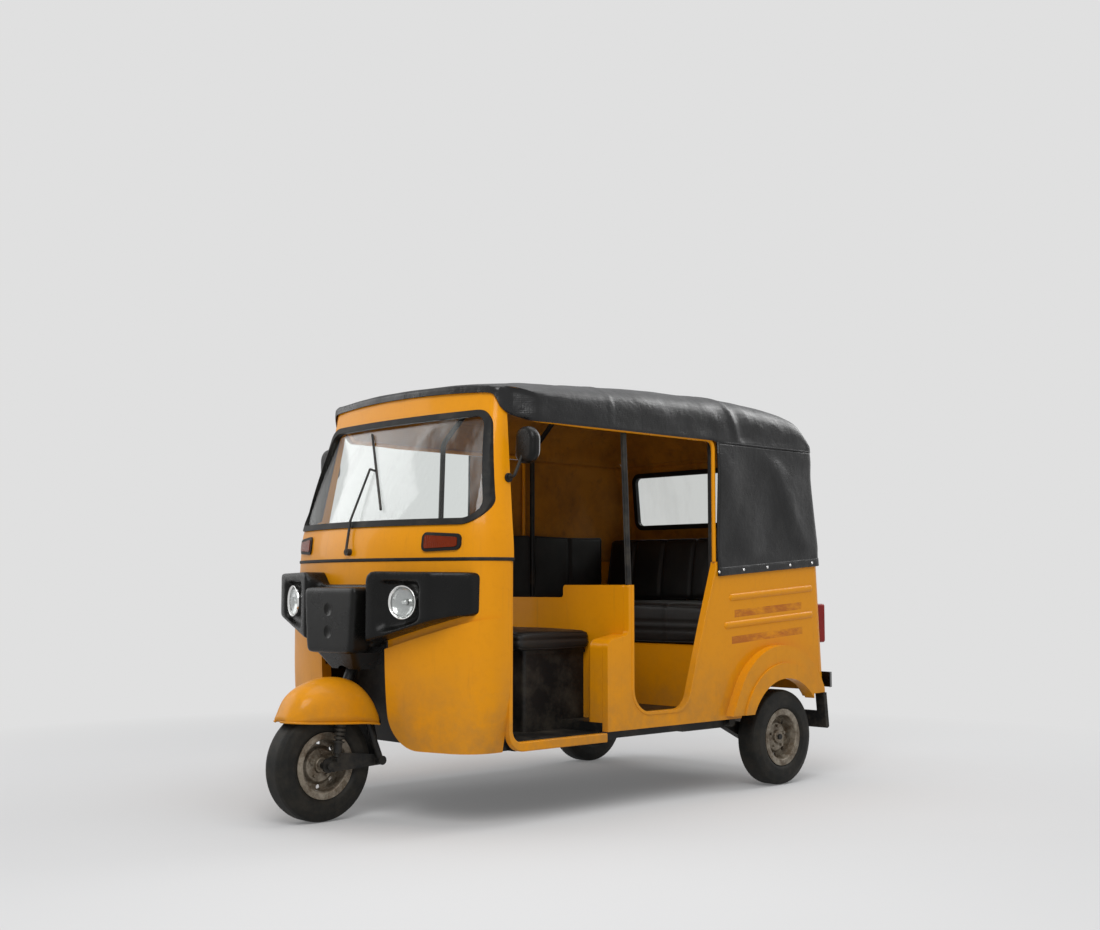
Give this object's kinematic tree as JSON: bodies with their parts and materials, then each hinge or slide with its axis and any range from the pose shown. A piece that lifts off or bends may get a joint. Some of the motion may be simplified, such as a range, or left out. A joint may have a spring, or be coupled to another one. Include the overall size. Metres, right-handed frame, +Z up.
{
  "type": "auto rickshaw",
  "caption": "Three-wheeled auto rickshaw with an open-sided steel cab, steered front wheel, canvas hood over hoops, driver's seat and rear bench.",
  "frame": {"origin": "on the ground, under the middle of the vehicle's overall length and width", "axes": "+Z up, -Y forwards (the steered front wheel's end), +X to the vehicle's left"},
  "size_m": [1.358, 2.6039, 1.6998],
  "materials": {
    "yellow_paint": "satin",
    "black_paint": "satin",
    "black_plastic": "matte",
    "rubber_trim": "matte",
    "rubber_mat": "matte",
    "glass": "polished",
    "lens_clear": "polished",
    "lens_amber": "polished",
    "lens_red": "polished",
    "chrome": "polished",
    "seat_vinyl": "satin",
    "trim_vinyl": "satin",
    "hood_canvas": "satin",
    "clear_window": "polished",
    "tyre_rubber": "matte",
    "rim_silver": "satin",
    "engine_alloy": "satin"
  },
  "bodies": {
    "body": {"floor_pan": "black_paint", "chassis_rails": "black_paint", "front_apron": "yellow_paint", "cab_upper": "yellow_paint", "door_frames": "yellow_paint", "windscreen": "glass", "window_seals": "rubber_trim", "waist_bead": "rubber_trim", "headlamp_fascia": "black_plastic", "grille_panel": "black_plastic", "fork_shroud": "black_plastic", "headlamp_rings": "chrome", "headlamp_lenses": "lens_clear", "front_indicators": "lens_amber", "wiper": "black_paint", "mirrors": "black_plastic", "side_panel_left": "yellow_paint", "side_panel_right": "yellow_paint", "rear_panel": "yellow_paint", "engine_lid": "yellow_paint", "wheel_flares": "yellow_paint", "partition": "yellow_paint", "seat_box": "black_paint", "driver_cushion": "seat_vinyl", "rear_seat_base": "yellow_paint", "rear_cushion": "seat_vinyl", "rear_backrest": "seat_vinyl", "trim_panel": "trim_vinyl", "roof_frame": "black_paint", "hood_top": "hood_canvas", "hood_left": "hood_canvas", "hood_right": "hood_canvas", "hood_rear": "hood_canvas", "rear_window": "clear_window", "taillamps": "lens_red", "rear_bumper": "black_plastic", "rear_mudflaps": "rubber_mat", "engine": "engine_alloy", "trailing_arms": "black_paint", "steering_head": "black_paint", "dashboard": "black_plastic"},
    "steering": {"front_fork": "black_paint", "front_links": "black_paint", "front_shocks": "black_paint", "front_fender": "yellow_paint", "front_mudflap": "rubber_mat", "handlebar": "black_plastic"},
    "front_wheel": {"rim_front": "rim_silver", "tyre_front": "tyre_rubber"},
    "rear_wheel_left": {"rim_rear_left": "rim_silver", "tyre_rear_left": "tyre_rubber"},
    "rear_wheel_right": {"rim_rear_right": "rim_silver", "tyre_rear_right": "tyre_rubber"}
  },
  "joints": [
    {"name": "steering", "type": "hinge", "parent": "body", "child": "steering", "pos_m": [0, -0.985, 0.47], "axis": [0, 0.3955, 0.9184], "range_deg": [-35, 35]},
    {"name": "front_wheel_spin", "type": "hinge", "parent": "steering", "child": "front_wheel", "pos_m": [0, -1.097, 0.205], "axis": [1, 0, 0], "continuous": true},
    {"name": "rear_wheel_left_spin", "type": "hinge", "parent": "body", "child": "rear_wheel_left", "pos_m": [0.575, 0.903, 0.205], "axis": [1, 0, 0], "continuous": true},
    {"name": "rear_wheel_right_spin", "type": "hinge", "parent": "body", "child": "rear_wheel_right", "pos_m": [-0.575, 0.903, 0.205], "axis": [1, 0, 0], "continuous": true}
  ]
}
